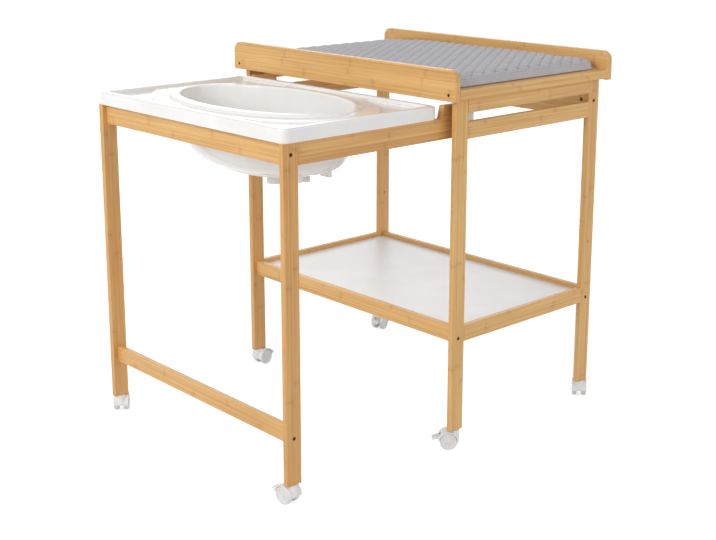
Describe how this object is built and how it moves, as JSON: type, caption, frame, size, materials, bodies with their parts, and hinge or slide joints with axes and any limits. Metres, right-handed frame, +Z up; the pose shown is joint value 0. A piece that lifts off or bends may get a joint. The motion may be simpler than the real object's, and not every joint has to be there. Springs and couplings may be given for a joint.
{
  "type": "changing table with bathtub",
  "caption": "Bamboo changing table on castors with raised guard boards, quilted pad, open shelf and a baby bath on a rolling frame that slides in under the tray",
  "frame": {"origin": "on the floor, under the middle of the overall length with the bath pulled out", "axes": "+X runs from the bath towards the changing tray, the way that the bath slides in; +Y runs along the tray to the back; +Z up"},
  "size_m": [1.0946, 0.868, 0.977],
  "materials": {
    "bamboo": "clear satin lacquer over edge-glued bamboo strips",
    "white_panel": "white laminated board",
    "steel": "zinc plated",
    "tub_plastic": "smooth glossy moulding",
    "drain_plastic": "smooth moulding",
    "block_plastic": "low friction moulding",
    "pad_fabric": "quilted woven cover",
    "castor_plastic": "satin moulding",
    "castor_wheel": "satin moulding"
  },
  "bodies": {
    "stand": {"leg_front_left": "bamboo", "leg_front_right": "bamboo", "leg_back_left": "bamboo", "leg_back_right": "bamboo", "apron_front": "bamboo", "apron_back": "bamboo", "guide_rail_front": "bamboo", "guide_rail_back": "bamboo", "right_top_rail": "bamboo", "shelf_rail_front": "bamboo", "shelf_rail_back": "bamboo", "shelf_rail_left": "bamboo", "shelf_rail_right": "bamboo", "shelf_panel": "white_panel", "guard_left": "bamboo", "guard_right": "bamboo", "tray_batten_front": "bamboo", "tray_batten_back": "bamboo", "tray_panel": "white_panel", "stand_bolts": "steel", "stand_nuts": "steel", "guard_screws": "steel", "tray_screws": "steel"},
    "bath_frame": {"bath_leg_front": "bamboo", "bath_leg_back": "bamboo", "bath_side_rail_front": "bamboo", "bath_side_rail_back": "bamboo", "bath_left_rail": "bamboo", "bath_low_rail": "bamboo", "bath_rear_rail": "bamboo", "slide_block_front": "block_plastic", "slide_block_back": "block_plastic", "bath_bolts": "steel", "bath_nuts": "steel", "block_screws": "steel"},
    "bath_tub": {"tub": "tub_plastic", "drain_outlet": "drain_plastic"},
    "plug": {"drain_plug": "drain_plastic"},
    "pad": {"changing_pad": "pad_fabric"},
    "castor_front_left": {"castor_front_left_hood": "castor_plastic"},
    "wheels_front_left": {"castor_front_left_wheels": "castor_wheel"},
    "brake_front_left": {"castor_front_left_brake": "castor_plastic"},
    "castor_back_left": {"castor_back_left_hood": "castor_plastic"},
    "wheels_back_left": {"castor_back_left_wheels": "castor_wheel"},
    "brake_back_left": {"castor_back_left_brake": "castor_plastic"},
    "castor_front_right": {"castor_front_right_hood": "castor_plastic"},
    "wheels_front_right": {"castor_front_right_wheels": "castor_wheel"},
    "brake_front_right": {"castor_front_right_brake": "castor_plastic"},
    "castor_back_right": {"castor_back_right_hood": "castor_plastic"},
    "wheels_back_right": {"castor_back_right_wheels": "castor_wheel"},
    "brake_back_right": {"castor_back_right_brake": "castor_plastic"},
    "castor_bath_front": {"castor_bath_front_hood": "castor_plastic"},
    "wheels_bath_front": {"castor_bath_front_wheels": "castor_wheel"},
    "brake_bath_front": {"castor_bath_front_brake": "castor_plastic"},
    "castor_bath_back": {"castor_bath_back_hood": "castor_plastic"},
    "wheels_bath_back": {"castor_bath_back_wheels": "castor_wheel"},
    "brake_bath_back": {"castor_bath_back_brake": "castor_plastic"}
  },
  "joints": [
    {"name": "bath_slide", "type": "slide", "parent": "stand", "child": "bath_frame", "axis": [1, 0, 0], "range_m": [0, 0.43]},
    {"name": "tub_lift", "type": "slide", "parent": "bath_frame", "child": "bath_tub", "axis": [0, 0, 1], "range_m": [0, 0.28]},
    {"name": "plug_lift", "type": "slide", "parent": "bath_tub", "child": "plug", "axis": [0, 0, 1], "range_m": [0, 0.12]},
    {"name": "pad_lift", "type": "slide", "parent": "stand", "child": "pad", "axis": [0, 0, 1], "range_m": [0, 0.25]},
    {"name": "front_left_swivel", "type": "hinge", "parent": "stand", "child": "castor_front_left", "pos_m": [-0.016, -0.407, 0.0497], "axis": [0, 0, 1], "continuous": true},
    {"name": "front_left_roll", "type": "hinge", "parent": "castor_front_left", "child": "wheels_front_left", "pos_m": [-0.02789, -0.39629, 0.022], "axis": [0.6691, 0.7431, 0], "continuous": true},
    {"name": "front_left_brake_press", "type": "hinge", "parent": "castor_front_left", "child": "brake_front_left", "pos_m": [-0.04626, -0.37976, 0.031], "axis": [0.6691, 0.7431, 0], "range_deg": [-12, 0]},
    {"name": "back_left_swivel", "type": "hinge", "parent": "stand", "child": "castor_back_left", "pos_m": [-0.016, 0.407, 0.0497], "axis": [0, 0, 1], "continuous": true},
    {"name": "back_left_roll", "type": "hinge", "parent": "castor_back_left", "child": "wheels_back_left", "pos_m": [-0.00024, 0.40978, 0.022], "axis": [0.1736, -0.9848, 0], "continuous": true},
    {"name": "back_left_brake_press", "type": "hinge", "parent": "castor_back_left", "child": "brake_back_left", "pos_m": [0.02409, 0.41407, 0.031], "axis": [0.1736, -0.9848, 0], "range_deg": [-12, 0]},
    {"name": "front_right_swivel", "type": "hinge", "parent": "stand", "child": "castor_front_right", "pos_m": [0.496, -0.407, 0.0497], "axis": [0, 0, 1], "continuous": true},
    {"name": "front_right_roll", "type": "hinge", "parent": "castor_front_right", "child": "wheels_front_right", "pos_m": [0.50826, -0.39671, 0.022], "axis": [0.6428, -0.766, 0], "continuous": true},
    {"name": "front_right_brake_press", "type": "hinge", "parent": "castor_front_right", "child": "brake_front_right", "pos_m": [0.52719, -0.38083, 0.031], "axis": [0.6428, -0.766, 0], "range_deg": [-12, 0]},
    {"name": "back_right_swivel", "type": "hinge", "parent": "stand", "child": "castor_back_right", "pos_m": [0.496, 0.407, 0.0497], "axis": [0, 0, 1], "continuous": true},
    {"name": "back_right_roll", "type": "hinge", "parent": "castor_back_right", "child": "wheels_back_right", "pos_m": [0.48096, 0.40153, 0.022], "axis": [-0.342, 0.9397, 0], "continuous": true},
    {"name": "back_right_brake_press", "type": "hinge", "parent": "castor_back_right", "child": "brake_back_right", "pos_m": [0.45774, 0.39308, 0.031], "axis": [-0.342, 0.9397, 0], "range_deg": [-12, 0]},
    {"name": "bath_front_swivel", "type": "hinge", "parent": "bath_frame", "child": "castor_bath_front", "pos_m": [-0.522, -0.372, 0.0497], "axis": [0, 0, 1], "continuous": true},
    {"name": "bath_front_roll", "type": "hinge", "parent": "castor_bath_front", "child": "wheels_bath_front", "pos_m": [-0.52423, -0.35616, 0.022], "axis": [0.9903, 0.1392, 0], "continuous": true},
    {"name": "bath_front_brake_press", "type": "hinge", "parent": "castor_bath_front", "child": "brake_bath_front", "pos_m": [-0.52767, -0.33168, 0.031], "axis": [0.9903, 0.1392, 0], "range_deg": [-12, 0]},
    {"name": "bath_back_swivel", "type": "hinge", "parent": "bath_frame", "child": "castor_bath_back", "pos_m": [-0.522, 0.372, 0.0497], "axis": [0, 0, 1], "continuous": true},
    {"name": "bath_back_roll", "type": "hinge", "parent": "castor_bath_back", "child": "wheels_bath_back", "pos_m": [-0.51215, 0.38461, 0.022], "axis": [0.788, -0.6157, 0], "continuous": true},
    {"name": "bath_back_brake_press", "type": "hinge", "parent": "castor_bath_back", "child": "brake_bath_back", "pos_m": [-0.49693, 0.40408, 0.031], "axis": [0.788, -0.6157, 0], "range_deg": [-12, 0]}
  ]
}
